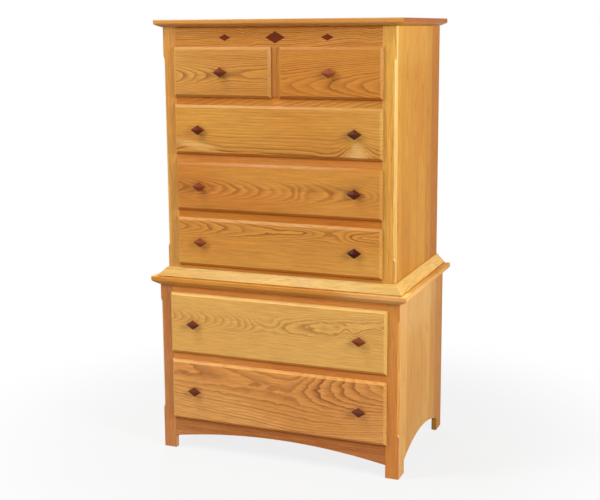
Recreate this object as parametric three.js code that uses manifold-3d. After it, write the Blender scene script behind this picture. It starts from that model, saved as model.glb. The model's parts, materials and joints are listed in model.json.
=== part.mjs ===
// A chest on chest in oak: a case of four drawer tiers stands on a wider case of two deeper drawers.
// Millimetres, +Z up, +X to the right and +Y to the back, with the origin on the floor under the middle.
import * as THREE from 'three';
import { mergeVertices } from 'three/addons/utils/BufferGeometryUtils.js';
import Module from 'manifold-3d';

const wasm = await Module();
wasm.setup();

// The two cases
const UPPER_WIDTH = 914;
const UPPER_HEIGHT = 950;
const LOWER_HEIGHT = 662;
const CASE_DEPTH = 588;
const LOWER_SIDE_STEP = 27;
const LOWER_FRONT_STEP = 24;

// The boards that cap them, bevelled underneath
const TOP_THICKNESS = 27;
const TOP_EDGE = 17;
const WAIST_THICKNESS = 33;
const WAIST_EDGE = 18;
const SIDE_OVERHANG = 30;
const FRONT_OVERHANG = 22;
const BEVEL_MARGIN = 4;

// The sloped moulding round the waist
const MOULDING_WIDTH = 33;
const MOULDING_HEIGHT = 35;
const MOULDING_FLAT = 3;

// Case sides and backs
const SIDE_THICKNESS = 20;
const BACK_THICKNESS = 8;
const BACK_REBATE = 10;
const HOUSING_DEPTH = 6;

// The front frame
const FRAME_THICKNESS = 20;
const STILE_WIDTH = 52;
const RAIL_HEIGHT = 40;
const FRIEZE_HEIGHT = 78;
const BASE_RAIL_HEIGHT = 54;
const LOWER_TOP_RAIL_HEIGHT = 32;
const DIVIDER_WIDTH = 44;
const TENON_LENGTH = 24;
const TENON_THICKNESS = 7;
const TENON_SHOULDER = 6;
const STUB_TENON = 14;

// The feet and the arches between them
const APRON_TOP = 133;
const ARCH_SPRING = 50;
const APRON_RISE = 39;
const SIDE_RISE = 48;
const FOOT_DEPTH = 70;

// Stopped chamfers on the outer corners of the stiles
const CHAMFER = 8;
const CHAMFER_RUN_OUT = 12;
const UPPER_CHAMFER_FOOT = 114;
const UPPER_CHAMFER_HEAD = 107;
const LOWER_CHAMFER_FOOT = 160;
const LOWER_CHAMFER_HEAD = 57;

// Web frames that carry, guide and level the drawers
const WEB_THICKNESS = 20;
const GUIDE_HEIGHT = 18;
const GUIDE_CLEARANCE = 0.5;
const KICKER_REACH = 26;

// Diamonds let into the frieze
const LARGE_INLAY_WIDTH = 76;
const LARGE_INLAY_HEIGHT = 43;
const SMALL_INLAY_WIDTH = 48;
const SMALL_INLAY_HEIGHT = 24;
const INLAY_DEPTH = 4;
const INLAY_SPACING = 201;

// Drawers
const UPPER_TIERS = 4;
const LOWER_TIERS = 2;
const FRONT_LIP = 6;
const FRONT_PROUD = 12;
const FRONT_TONGUE = 12;
const BEVEL_FACE = 10;
const BEVEL_FALL = 9;
const DRAWER_SIDE = 12;
const DRAWER_BACK = 12;
const DRAWER_BACK_DROP = 7;
const DRAWER_BOTTOM = 6;
const BOTTOM_LIFT = 11;
const BOTTOM_GROOVE = 6;
const DRAWER_CLEARANCE = 2;
const HEAD_CLEARANCE = 4;
const REAR_SPACE = 14;

// Half-blind dovetails of the drawer sides
const TAIL_PITCH = 44;
const FEWEST_TAILS = 2;
const TAIL_NECK = 22;
const TAIL_FLARE = 2.5;

// Knobs
const KNOB_WIDTH = 57;
const KNOB_HEIGHT = 38;
const KNOB_PEAK = 9;
const KNOB_EDGE = 2;
const KNOB_UNDERCUT = 4;
const STEM_LENGTH = 5;
const STEM_RADIUS = 9;
const KNOB_TENON_RADIUS = 6;
const KNOB_TENON_LENGTH = 14;
const KNOB_INSET = 102;

// Fits and facets
const SEAT_GAP = 0.3;
const OVERRUN = 1;
const ARC_STEPS = 12;
const ROUND_STEPS = 24;
const DIAMOND_SIDES = 4;

const SIDES = { left: -1, right: 1 };
const X_AXIS = new THREE.Vector3(1, 0, 0);
const Y_AXIS = new THREE.Vector3(0, 1, 0);
const Z_AXIS = new THREE.Vector3(0, 0, 1);

// Finishes: oiled oak, the pale wood inside the drawers, and the dark wood of knobs and inlays
const OAK = { color: 0xcd9146, roughness: 0.42, metalness: 0 };
const OAK_SIDE = { color: 0xd39a50, roughness: 0.42, metalness: 0 };
const DRAWER_WOOD = { color: 0xdcb98a, roughness: 0.6, metalness: 0 };
const WEB_WOOD = { color: 0xc9a777, roughness: 0.7, metalness: 0 };
const DARK_WOOD = { color: 0x6e3228, roughness: 0.35, metalness: 0 };

// Sizes that follow from the ones above
const upper = {
  half: UPPER_WIDTH / 2,
  front: 0,
  base: LOWER_HEIGHT + WAIST_THICKNESS,
  top: LOWER_HEIGHT + WAIST_THICKNESS + UPPER_HEIGHT,
};
const lower = {
  half: UPPER_WIDTH / 2 + LOWER_SIDE_STEP,
  front: -LOWER_FRONT_STEP,
  base: 0,
  top: LOWER_HEIGHT,
};
for (const box of [upper, lower]) {
  box.inside = box.half - SIDE_THICKNESS;
  box.opening = box.half - STILE_WIDTH;
  box.frameBack = box.front + FRAME_THICKNESS;
  box.backFront = CASE_DEPTH - BACK_THICKNESS;
}
upper.tiers = tiersBetween(upper.base + BASE_RAIL_HEIGHT, upper.top - FRIEZE_HEIGHT, UPPER_TIERS);
lower.tiers = tiersBetween(APRON_TOP, lower.top - LOWER_TOP_RAIL_HEIGHT, LOWER_TIERS);

const smallTier = upper.tiers[UPPER_TIERS - 1];
const knobReach = STEM_LENGTH + KNOB_UNDERCUT + KNOB_EDGE + KNOB_PEAK;
const frontReach = LOWER_FRONT_STEP + SEAT_GAP + FRONT_PROUD + SEAT_GAP + knobReach;
const middleY = (CASE_DEPTH - frontReach) / 2;

/** Openings of equal height between two levels, from the lowest up, one rail apart. */
function tiersBetween(floor, ceiling, count) {
  const height = (ceiling - floor - (count - 1) * RAIL_HEIGHT) / count;
  return Array.from({ length: count }, (_, index) => {
    const bottom = floor + index * (height + RAIL_HEIGHT);
    return { bottom, top: bottom + height };
  });
}

/** The closed solid that a geometry encloses. */
function solid(geometry) {
  geometry.deleteAttribute('normal');
  geometry.deleteAttribute('uv');
  const merged = mergeVertices(geometry);
  const vertProperties = Float32Array.from(merged.getAttribute('position').array);
  const triVerts = Uint32Array.from(merged.index.array);
  return new wasm.Manifold(new wasm.Mesh({ numProp: 3, vertProperties, triVerts }));
}

/** The geometry of a closed solid. */
function geometryOf(body) {
  const mesh = body.getMesh();
  const geometry = new THREE.BufferGeometry();
  geometry.setAttribute('position', new THREE.BufferAttribute(mesh.vertProperties, 3));
  geometry.setIndex(new THREE.BufferAttribute(mesh.triVerts, 1));
  geometry.computeVertexNormals();
  return geometry;
}

/** A range of X on one side of the middle, written from the middle outwards. */
function outward(sign, near, far) {
  return [Math.min(sign * near, sign * far), Math.max(sign * near, sign * far)];
}

/** A range grown at both ends. */
function grown([low, high], by) {
  return [low - by, high + by];
}

/** A range about a middle. */
function about(middle, size) {
  return [middle - size / 2, middle + size / 2];
}

function block(x, y, z) {
  const geometry = new THREE.BoxGeometry(x[1] - x[0], y[1] - y[0], z[1] - z[0]);
  geometry.translate((x[0] + x[1]) / 2, (y[0] + y[1]) / 2, (z[0] + z[1]) / 2);
  return solid(geometry);
}

function outline(points) {
  return new THREE.Shape(points.map(([u, v]) => new THREE.Vector2(u, v)));
}

/** Turns an extrusion so that its outline's axes and its length lie along three given directions. */
function laid(geometry, right, up, along, start) {
  return geometry.applyMatrix4(new THREE.Matrix4().makeBasis(right, up, along).setPosition(start));
}

function extrusion(shape, length) {
  const options = { depth: length, bevelEnabled: false, curveSegments: ARC_STEPS };
  return new THREE.ExtrudeGeometry(shape, options);
}

/** An outline in Y and Z, drawn out along X. */
function alongX(shape, [from, to]) {
  const start = new THREE.Vector3(from, 0, 0);
  return solid(laid(extrusion(shape, to - from), Y_AXIS, Z_AXIS, X_AXIS, start));
}

/** An outline in X and Z, drawn out along Y. */
function alongY(shape, [from, to]) {
  const forward = Y_AXIS.clone().negate();
  const start = new THREE.Vector3(0, to, 0);
  return solid(laid(extrusion(shape, to - from), X_AXIS, Z_AXIS, forward, start));
}

/** An outline in X and Y, drawn out along Z. */
function alongZ(shape, [from, to]) {
  const start = new THREE.Vector3(0, 0, from);
  return solid(laid(extrusion(shape, to - from), X_AXIS, Y_AXIS, Z_AXIS, start));
}

/** Points on one side of the middle, followed by their mirror images on the other. */
function mirrored(points) {
  const others = points.map(([x, z]) => [-x, z]).reverse();
  return outline([...points, ...others]);
}

/** Carries a shape that is under way over an arch, from one springing to the other. */
function archOver(shape, from, to, spring, rise) {
  const half = (to - from) / 2;
  const radius = (half * half + rise * rise) / (2 * rise);
  const start = Math.PI - Math.acos(half / radius);
  shape.absarc((from + to) / 2, spring + rise - radius, radius, start, Math.PI - start, true);
}

/** A diamond about a middle, with its edges moved out by a gap. */
function diamond([x, z], width, height, gap) {
  const a = width / 2;
  const b = height / 2;
  const scale = 1 + (gap * Math.hypot(a, b)) / (a * b);
  return outline([[x + a * scale, z], [x, z + b * scale], [x - a * scale, z], [x, z - b * scale]]);
}

const chest = new THREE.Group();
const cases = new THREE.Group();
chest.add(cases);
chest.position.y = -middleY;

function add(group, name, body, finish) {
  const mesh = new THREE.Mesh(geometryOf(body), new THREE.MeshStandardMaterial(finish));
  mesh.name = name;
  group.add(mesh);
}

// Boards with a bevel underneath at the front and both ends

function cappingBoard(box, thickness, edge) {
  const under = box.top;
  const over = box.top + thickness;
  const front = box.front - FRONT_OVERHANG;
  const end = box.half + SIDE_OVERHANG;
  const lengthwise = outline([
    [front, over],
    [front, over - edge],
    [box.front - BEVEL_MARGIN, under],
    [CASE_DEPTH, under],
    [CASE_DEPTH, over],
  ]);
  const crosswise = mirrored([
    [end, over],
    [end, over - edge],
    [box.half + BEVEL_MARGIN, under],
  ]);
  return alongX(lengthwise, [-end, end]).intersect(alongY(crosswise, [front, CASE_DEPTH]));
}

// The sloped moulding, one section in three mitred lengths

function mouldingSection(inner, outer) {
  const flat = Math.sign(outer - inner) * MOULDING_FLAT;
  const foot = upper.base + SEAT_GAP;
  return outline([
    [inner, foot],
    [outer, foot],
    [outer, foot + MOULDING_FLAT],
    [inner + flat, foot + MOULDING_HEIGHT],
    [inner, foot + MOULDING_HEIGHT],
  ]);
}

const mouldingRise = [upper.base, upper.base + 2 * MOULDING_HEIGHT];
const mitre = {
  innerX: upper.half + SEAT_GAP,
  outerX: upper.half + SEAT_GAP + MOULDING_WIDTH,
  innerY: upper.front - SEAT_GAP,
  outerY: upper.front - SEAT_GAP - MOULDING_WIDTH,
};

function frontMoulding() {
  const plan = mirrored([
    [mitre.innerX, mitre.innerY],
    [mitre.outerX, mitre.outerY],
  ]);
  const section = mouldingSection(mitre.innerY, mitre.outerY);
  return alongX(section, [-mitre.outerX, mitre.outerX]).intersect(alongZ(plan, mouldingRise));
}

function sideMoulding(sign) {
  const plan = outline([
    [sign * mitre.innerX, mitre.innerY + SEAT_GAP],
    [sign * mitre.outerX, mitre.outerY + SEAT_GAP],
    [sign * mitre.outerX, CASE_DEPTH],
    [sign * mitre.innerX, CASE_DEPTH],
  ]);
  const section = mouldingSection(sign * mitre.innerX, sign * mitre.outerX);
  return alongY(section, [mitre.outerY, CASE_DEPTH]).intersect(alongZ(plan, mouldingRise));
}

// The front frame: stiles with mortises and stopped chamfers, rails with tenons

function frameMiddle(box) {
  return about(box.front + FRAME_THICKNESS / 2, TENON_THICKNESS);
}

/** Where a rail's tenon lies in a stile, across and up. */
function tenonPlace(box, sign, [bottom, top]) {
  return {
    x: outward(sign, box.opening - SEAT_GAP - OVERRUN, box.opening + TENON_LENGTH),
    y: frameMiddle(box),
    z: [bottom + TENON_SHOULDER, top - TENON_SHOULDER],
  };
}

/** Cuts a chamfer off an outer corner and lets it run out at both ends. */
function chamferCut(box, sign, [low, high]) {
  const depth = CHAMFER / Math.SQRT2;
  const lead = (CHAMFER_RUN_OUT * OVERRUN) / depth;
  const shape = outline([
    [-OVERRUN, low - lead],
    [depth, low + CHAMFER_RUN_OUT],
    [depth, high - CHAMFER_RUN_OUT],
    [-OVERRUN, high + lead],
  ]);
  const inward = new THREE.Vector3(-sign, 1, 0).normalize();
  const across = new THREE.Vector3().crossVectors(inward, Z_AXIS);
  const corner = new THREE.Vector3(sign * box.half, box.front, 0);
  const start = corner.addScaledVector(across, -CHAMFER);
  return solid(laid(extrusion(shape, 2 * CHAMFER), inward, Z_AXIS, across, start));
}

function stile(box, sign, bottom, rails, chamfer) {
  const across = outward(sign, box.opening, box.half);
  let body = block(across, [box.front, box.frameBack], [bottom, box.top - SEAT_GAP]);
  for (const rail of rails) {
    const { x, y, z } = tenonPlace(box, sign, rail);
    body = body.subtract(block(grown(x, SEAT_GAP), grown(y, SEAT_GAP), grown(z, SEAT_GAP)));
  }
  return body.subtract(chamferCut(box, sign, chamfer));
}

function withTenons(body, box, rail) {
  let joined = body;
  for (const sign of Object.values(SIDES)) {
    const tenon = tenonPlace(box, sign, rail);
    joined = joined.add(block(tenon.x, tenon.y, tenon.z));
  }
  return joined;
}

function rail(box, [bottom, top]) {
  const x = [-box.opening + SEAT_GAP, box.opening - SEAT_GAP];
  return withTenons(block(x, [box.front, box.frameBack], [bottom, top]), box, [bottom, top]);
}

/** The lowest rail of the lower case, arched between the feet. */
function apron() {
  const half = lower.opening - SEAT_GAP;
  const shape = new THREE.Shape();
  shape.moveTo(half, APRON_TOP);
  shape.lineTo(-half, APRON_TOP);
  archOver(shape, -half, half, ARCH_SPRING, APRON_RISE);
  const body = alongY(shape, [lower.front, lower.frameBack]);
  return withTenons(body, lower, [ARCH_SPRING, APRON_TOP]);
}

// The short divider between the small drawers, with the strip that guides them both

function dividerTenon() {
  const bottom = [smallTier.bottom - STUB_TENON, smallTier.bottom + SEAT_GAP + OVERRUN];
  const top = [smallTier.top - SEAT_GAP - OVERRUN, smallTier.top + STUB_TENON];
  const x = about(0, DIVIDER_WIDTH - 2 * TENON_SHOULDER);
  return { x, y: frameMiddle(upper), bottom, top };
}

function divider() {
  const shape = outline([
    [upper.front, smallTier.bottom + SEAT_GAP],
    [upper.backFront - SEAT_GAP, smallTier.bottom + SEAT_GAP],
    [upper.backFront - SEAT_GAP, smallTier.bottom + GUIDE_HEIGHT],
    [upper.frameBack, smallTier.bottom + GUIDE_HEIGHT],
    [upper.frameBack, smallTier.top - SEAT_GAP],
    [upper.front, smallTier.top - SEAT_GAP],
  ]);
  const tenon = dividerTenon();
  const post = alongX(shape, about(0, DIVIDER_WIDTH));
  return post.add(block(tenon.x, tenon.y, tenon.bottom)).add(block(tenon.x, tenon.y, tenon.top));
}

function withDividerMortise(body, reach) {
  const { x, y } = dividerTenon();
  return body.subtract(block(grown(x, SEAT_GAP), grown(y, SEAT_GAP), grown(reach, SEAT_GAP)));
}

// Case sides, backs and web frames

/** A case side in Y and Z. The lower ones stand on two feet with an arch between. */
function sideShape(box) {
  const front = box.frameBack + SEAT_GAP;
  const shape = new THREE.Shape();
  shape.moveTo(front, box.top - SEAT_GAP);
  if (box === lower) {
    const heel = lower.front + FOOT_DEPTH;
    const toe = CASE_DEPTH - FOOT_DEPTH;
    shape.lineTo(front, 0);
    shape.lineTo(heel, 0);
    archOver(shape, heel, toe, ARCH_SPRING, SIDE_RISE);
    shape.lineTo(toe, 0);
    shape.lineTo(CASE_DEPTH, 0);
  } else {
    shape.lineTo(front, box.base + SEAT_GAP);
    shape.lineTo(CASE_DEPTH, box.base + SEAT_GAP);
  }
  shape.lineTo(CASE_DEPTH, box.top - SEAT_GAP);
  return shape;
}

/** The heights between which the back panel reaches. */
function backRise(box) {
  const foot = box === lower ? ARCH_SPRING + SIDE_RISE : box.base + SEAT_GAP;
  return [foot, box.top - SEAT_GAP];
}

function caseSide(box, sign, surfaces) {
  const deep = [box.front, CASE_DEPTH + OVERRUN];
  let body = alongX(sideShape(box), outward(sign, box.inside, box.half));
  for (const surface of surfaces) {
    const x = outward(sign, box.inside - OVERRUN, box.inside + HOUSING_DEPTH);
    body = body.subtract(block(x, deep, grown([surface - WEB_THICKNESS, surface], SEAT_GAP)));
  }
  const rebate = outward(sign, box.inside - OVERRUN, box.inside + BACK_REBATE);
  const [foot, head] = backRise(box);
  const rise = [foot - SEAT_GAP, head + OVERRUN];
  return body.subtract(block(rebate, [box.backFront, CASE_DEPTH + OVERRUN], rise));
}

function backPanel(box) {
  const half = box.inside + BACK_REBATE - SEAT_GAP;
  return block([-half, half], [box.backFront + SEAT_GAP, CASE_DEPTH], backRise(box));
}

/**
 * A web frame with its dust panel, as one section from side to side. The guides above it keep a drawer
 * straight, and the kickers below it reach down to keep the drawer underneath level.
 */
function webFrame(box, surface, hasGuides, kickerFoot) {
  const wall = box.inside - SEAT_GAP;
  const tongue = box.inside + HOUSING_DEPTH - SEAT_GAP;
  const guide = box.opening + GUIDE_CLEARANCE;
  const kicker = box.opening - KICKER_REACH;
  const under = surface - WEB_THICKNESS;
  const points = [];
  if (hasGuides) {
    points.push([guide, surface], [guide, surface + GUIDE_HEIGHT], [wall, surface + GUIDE_HEIGHT]);
    points.push([wall, surface]);
  }
  points.push([tongue, surface], [tongue, under]);
  if (kickerFoot < under) {
    points.push([wall, under], [wall, kickerFoot], [kicker, kickerFoot], [kicker, under]);
  }
  return alongY(mirrored(points), [box.frameBack + SEAT_GAP, box.backFront - SEAT_GAP]);
}

/** The lower case's top web frame, whose front member is the rail under the waist board. */
function lowerTopFrame(place, surface) {
  const web = webFrame(lower, surface, false, place[0]);
  const glueLine = block(
    [-lower.opening + SEAT_GAP, lower.opening - SEAT_GAP],
    [lower.frameBack - OVERRUN, lower.frameBack + SEAT_GAP + OVERRUN],
    [surface - WEB_THICKNESS, surface],
  );
  return rail(lower, place).add(glueLine).add(web);
}

// Drawers

/** The middles of the dovetails up a drawer side. */
function tailMiddles(height) {
  const count = Math.max(FEWEST_TAILS, Math.round(height / TAIL_PITCH));
  const pitch = height / count;
  return Array.from({ length: count }, (_, index) => (index + 1 / 2) * pitch);
}

/** A dovetail in Y and Z, wide at its front end, with its cheeks moved out by a gap. */
function tailPoints(tip, shoulder, middle, gap) {
  const slope = TAIL_FLARE / FRONT_TONGUE;
  const neck = TAIL_NECK / 2 + gap;
  const end = neck + slope * (shoulder - tip);
  return [
    [shoulder, middle - neck],
    [tip, middle - end],
    [tip, middle + end],
    [shoulder, middle + neck],
  ];
}

/** A drawer's working sizes, from the opening that it fills. */
function drawerSizes(box, left, right, tier) {
  const lipBack = box.front - SEAT_GAP;
  const rise = [tier.bottom + SEAT_GAP, tier.top - HEAD_CLEARANCE];
  return {
    lip: { x: grown([left, right], FRONT_LIP), z: grown([tier.bottom, tier.top], FRONT_LIP) },
    face: lipBack - FRONT_PROUD,
    lipBack,
    tongueBack: box.front + FRONT_TONGUE,
    outer: [left + DRAWER_CLEARANCE, right - DRAWER_CLEARANCE],
    rise,
    height: rise[1] - rise[0],
    back: box.backFront - REAR_SPACE,
    bottom: [rise[0] + BOTTOM_LIFT, rise[0] + BOTTOM_LIFT + DRAWER_BOTTOM],
  };
}

function drawerSideShape(sizes) {
  const shoulder = sizes.tongueBack + SEAT_GAP;
  const tip = sizes.lipBack + 2 * SEAT_GAP;
  const tails = tailMiddles(sizes.height).flatMap((middle) =>
    tailPoints(tip, shoulder, sizes.rise[0] + middle, 0),
  );
  return outline([
    [sizes.back, sizes.rise[0]],
    [shoulder, sizes.rise[0]],
    ...tails,
    [shoulder, sizes.rise[1]],
    [sizes.back, sizes.rise[1]],
  ]);
}

function drawerBox(sizes) {
  const [left, right] = sizes.outer;
  const between = [left + DRAWER_SIDE - OVERRUN, right - DRAWER_SIDE + OVERRUN];
  const inGroove = [left + DRAWER_SIDE + SEAT_GAP, right - DRAWER_SIDE - SEAT_GAP];
  const grooveFloor = sizes.tongueBack - BOTTOM_GROOVE + SEAT_GAP;
  const shape = drawerSideShape(sizes);
  const head = sizes.rise[1] - DRAWER_BACK_DROP;
  const shoulder = sizes.tongueBack + SEAT_GAP;
  return alongX(shape, [left, left + DRAWER_SIDE])
    .add(alongX(shape, [right - DRAWER_SIDE, right]))
    .add(block(between, [shoulder, sizes.back], sizes.bottom))
    .add(block(inGroove, [grooveFloor, shoulder + OVERRUN], sizes.bottom))
    .add(block(between, [sizes.back - DRAWER_BACK, sizes.back], [sizes.bottom[0], head]));
}

/** The lipped front, bevelled all round its face, with a bore for each knob. */
function drawerFront(sizes, knobXs) {
  const { x, z } = sizes.lip;
  const shape = outline([
    [x[0] + BEVEL_FACE, z[0] + BEVEL_FACE],
    [x[1] - BEVEL_FACE, z[0] + BEVEL_FACE],
    [x[1] - BEVEL_FACE, z[1] - BEVEL_FACE],
    [x[0] + BEVEL_FACE, z[1] - BEVEL_FACE],
  ]);
  const flat = 2 * (FRONT_PROUD - BEVEL_FALL);
  const bevelled = new THREE.ExtrudeGeometry(shape, {
    depth: flat,
    bevelEnabled: true,
    bevelThickness: BEVEL_FALL,
    bevelSize: BEVEL_FACE,
    bevelSegments: 1,
  });
  const start = new THREE.Vector3(0, sizes.lipBack + flat / 2, 0);
  const slab = solid(laid(bevelled, X_AXIS, Z_AXIS, Y_AXIS.clone().negate(), start));
  const behind = [sizes.lipBack, sizes.lipBack + 2 * FRONT_PROUD];
  const rear = block(grown(x, OVERRUN), behind, grown(z, OVERRUN));
  const tongue = block(sizes.outer, [sizes.lipBack - OVERRUN, sizes.tongueBack], sizes.rise);
  let body = slab.subtract(rear).add(tongue);
  for (const cut of [...socketCuts(sizes), grooveCut(sizes)]) {
    body = body.subtract(cut);
  }
  for (const knobX of knobXs) {
    const depth = [-OVERRUN, KNOB_TENON_LENGTH + SEAT_GAP];
    const bore = knobRound(sizes, KNOB_TENON_RADIUS + SEAT_GAP, depth);
    body = body.subtract(bore.translate([knobX, 0, 0]));
  }
  return body;
}

function socketCuts(sizes) {
  const [left, right] = sizes.outer;
  const ends = [
    [left - OVERRUN, left + DRAWER_SIDE + SEAT_GAP],
    [right - DRAWER_SIDE - SEAT_GAP, right + OVERRUN],
  ];
  const tip = sizes.lipBack + SEAT_GAP;
  const mouth = sizes.tongueBack + OVERRUN;
  return tailMiddles(sizes.height).flatMap((middle) => {
    const points = tailPoints(tip, mouth, sizes.rise[0] + middle, SEAT_GAP);
    return ends.map((end) => alongX(outline(points), end));
  });
}

function grooveCut(sizes) {
  const [left, right] = sizes.outer;
  const x = [left + DRAWER_SIDE, right - DRAWER_SIDE];
  const y = [sizes.tongueBack - BOTTOM_GROOVE, sizes.tongueBack + OVERRUN];
  return block(x, y, grown(sizes.bottom, SEAT_GAP));
}

// Knobs: a low four-sided pyramid over a diamond edge, undercut to a round stem

/** A round along Y at the height of a drawer's middle, reckoned from the drawer's face. */
function knobRound(sizes, radius, [from, to]) {
  const geometry = new THREE.CylinderGeometry(radius, radius, to - from, ROUND_STEPS);
  geometry.translate(0, sizes.face + (from + to) / 2, (sizes.lip.z[0] + sizes.lip.z[1]) / 2);
  return solid(geometry);
}

/** A four-sided frustum along Y between two sizes of the knob's diamond, as shares of the full one. */
function knobFrustum(sizes, backShare, frontShare, [from, to]) {
  const geometry = new THREE.CylinderGeometry(backShare, frontShare, 1, DIAMOND_SIDES);
  geometry.scale(KNOB_WIDTH / 2, to - from, KNOB_HEIGHT / 2);
  geometry.translate(0, sizes.face + (from + to) / 2, (sizes.lip.z[0] + sizes.lip.z[1]) / 2);
  return solid(geometry);
}

function knob(sizes, knobX) {
  const stemFoot = -SEAT_GAP;
  const stemEnd = stemFoot - STEM_LENGTH;
  const edgeBack = stemEnd - KNOB_UNDERCUT;
  const edgeFront = edgeBack - KNOB_EDGE;
  const stemShare = (2 * STEM_RADIUS) / KNOB_HEIGHT;
  return knobRound(sizes, KNOB_TENON_RADIUS, [stemFoot - OVERRUN, KNOB_TENON_LENGTH])
    .add(knobRound(sizes, STEM_RADIUS, [edgeBack, stemFoot]))
    .add(knobFrustum(sizes, stemShare, 1, [edgeBack, stemEnd]))
    .add(knobFrustum(sizes, 1, 1, [edgeFront, edgeBack]))
    .add(knobFrustum(sizes, 1, 0, [edgeFront - KNOB_PEAK, edgeFront]))
    .translate([knobX, 0, 0]);
}

function addDrawer(name, box, left, right, tier, knobs) {
  const drawer = new THREE.Group();
  const sizes = drawerSizes(box, left, right, tier);
  add(drawer, `${name}_front`, drawerFront(sizes, Object.values(knobs)), OAK);
  add(drawer, `${name}_box`, drawerBox(sizes), DRAWER_WOOD);
  for (const [knobName, knobX] of Object.entries(knobs)) {
    add(drawer, `${name}_${knobName}`, knob(sizes, knobX), DARK_WOOD);
  }
  chest.add(drawer);
}

function wideKnobs(box) {
  const reach = box.opening + FRONT_LIP - KNOB_INSET;
  return { knob_left: -reach, knob_right: reach };
}

// The upper case

const upperRails = {
  upper_base_rail: [upper.base + SEAT_GAP, upper.tiers[0].bottom],
  upper_rail_3: [upper.tiers[0].top, upper.tiers[1].bottom],
  upper_rail_2: [upper.tiers[1].top, upper.tiers[2].bottom],
  upper_rail_1: [upper.tiers[2].top, smallTier.bottom],
  frieze_rail: [smallTier.top, upper.top - SEAT_GAP],
};
const upperWebs = {
  upper_bottom_frame: { surface: upper.tiers[0].bottom, kickerFoot: Infinity },
  upper_dust_frame_3: { surface: upper.tiers[1].bottom, kickerFoot: upper.tiers[0].top },
  upper_dust_frame_2: { surface: upper.tiers[2].bottom, kickerFoot: upper.tiers[1].top },
  upper_dust_frame_1: { surface: smallTier.bottom, kickerFoot: upper.tiers[2].top },
  upper_top_frame: { surface: smallTier.top + WEB_THICKNESS, kickerFoot: Infinity },
};
const friezeMiddle = (smallTier.top + upper.top) / 2;
const smallInlay = { width: SMALL_INLAY_WIDTH, height: SMALL_INLAY_HEIGHT };
const largeInlay = { width: LARGE_INLAY_WIDTH, height: LARGE_INLAY_HEIGHT };
const inlays = {
  frieze_inlay_left: { middle: [-INLAY_SPACING, friezeMiddle], ...smallInlay },
  frieze_inlay_centre: { middle: [0, friezeMiddle], ...largeInlay },
  frieze_inlay_right: { middle: [INLAY_SPACING, friezeMiddle], ...smallInlay },
};

/** A rail of the upper case with the mortises and pockets that it takes. */
function upperRail(name, place) {
  let body = rail(upper, place);
  if (name === 'upper_rail_1') {
    body = withDividerMortise(body, dividerTenon().bottom);
  }
  if (name === 'frieze_rail') {
    body = withDividerMortise(body, dividerTenon().top);
    const depth = [upper.front - OVERRUN, upper.front + INLAY_DEPTH + SEAT_GAP];
    for (const { middle, width, height } of Object.values(inlays)) {
      body = body.subtract(alongY(diamond(middle, width, height, SEAT_GAP), depth));
    }
  }
  return body;
}

const upperChamfer = [upper.base + UPPER_CHAMFER_FOOT, upper.top - UPPER_CHAMFER_HEAD];
const upperSurfaces = Object.values(upperWebs).map((web) => web.surface);

add(cases, 'top_board', cappingBoard(upper, TOP_THICKNESS, TOP_EDGE), OAK);
for (const [side, sign] of Object.entries(SIDES)) {
  const foot = upper.base + SEAT_GAP;
  add(cases, `upper_side_${side}`, caseSide(upper, sign, upperSurfaces), OAK_SIDE);
  const body = stile(upper, sign, foot, Object.values(upperRails), upperChamfer);
  add(cases, `upper_stile_${side}`, body, OAK);
}
for (const [name, place] of Object.entries(upperRails)) {
  add(cases, name, upperRail(name, place), OAK);
}
for (const [name, { middle, width, height }] of Object.entries(inlays)) {
  const shape = diamond(middle, width, height, 0);
  add(cases, name, alongY(shape, [upper.front, upper.front + INLAY_DEPTH]), DARK_WOOD);
}
add(cases, 'small_drawer_divider', divider(), OAK);
for (const [name, { surface, kickerFoot }] of Object.entries(upperWebs)) {
  add(cases, name, webFrame(upper, surface, name !== 'upper_top_frame', kickerFoot), WEB_WOOD);
}
add(cases, 'upper_back', backPanel(upper), WEB_WOOD);

// The lower case

const lowerRails = {
  apron_rail: [ARCH_SPRING, APRON_TOP],
  lower_rail: [lower.tiers[0].top, lower.tiers[1].bottom],
  lower_top_frame: [lower.tiers[1].top, lower.top - SEAT_GAP],
};
const lowerWebs = {
  lower_bottom_frame: { surface: lower.tiers[0].bottom, kickerFoot: Infinity },
  lower_dust_frame: { surface: lower.tiers[1].bottom, kickerFoot: lower.tiers[0].top },
};
const lowerChamfer = [LOWER_CHAMFER_FOOT, lower.top - LOWER_CHAMFER_HEAD];
const lowerTopSurface = lower.top - SEAT_GAP;
const lowerSurfaces = [...Object.values(lowerWebs).map((web) => web.surface), lowerTopSurface];

add(cases, 'waist_board', cappingBoard(lower, WAIST_THICKNESS, WAIST_EDGE), OAK);
add(cases, 'waist_moulding_front', frontMoulding(), OAK);
for (const [side, sign] of Object.entries(SIDES)) {
  add(cases, `waist_moulding_${side}`, sideMoulding(sign), OAK);
  add(cases, `lower_side_${side}`, caseSide(lower, sign, lowerSurfaces), OAK_SIDE);
  const body = stile(lower, sign, lower.base, Object.values(lowerRails), lowerChamfer);
  add(cases, `lower_stile_${side}`, body, OAK);
}
add(cases, 'apron_rail', apron(), OAK);
add(cases, 'lower_rail', rail(lower, lowerRails.lower_rail), OAK);
add(cases, 'lower_top_frame', lowerTopFrame(lowerRails.lower_top_frame, lowerTopSurface), OAK);
for (const [name, { surface, kickerFoot }] of Object.entries(lowerWebs)) {
  add(cases, name, webFrame(lower, surface, true, kickerFoot), WEB_WOOD);
}
add(cases, 'lower_back', backPanel(lower), WEB_WOOD);

// The drawers: two small ones side by side, three wide ones under them, two deep ones in the lower case

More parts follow.
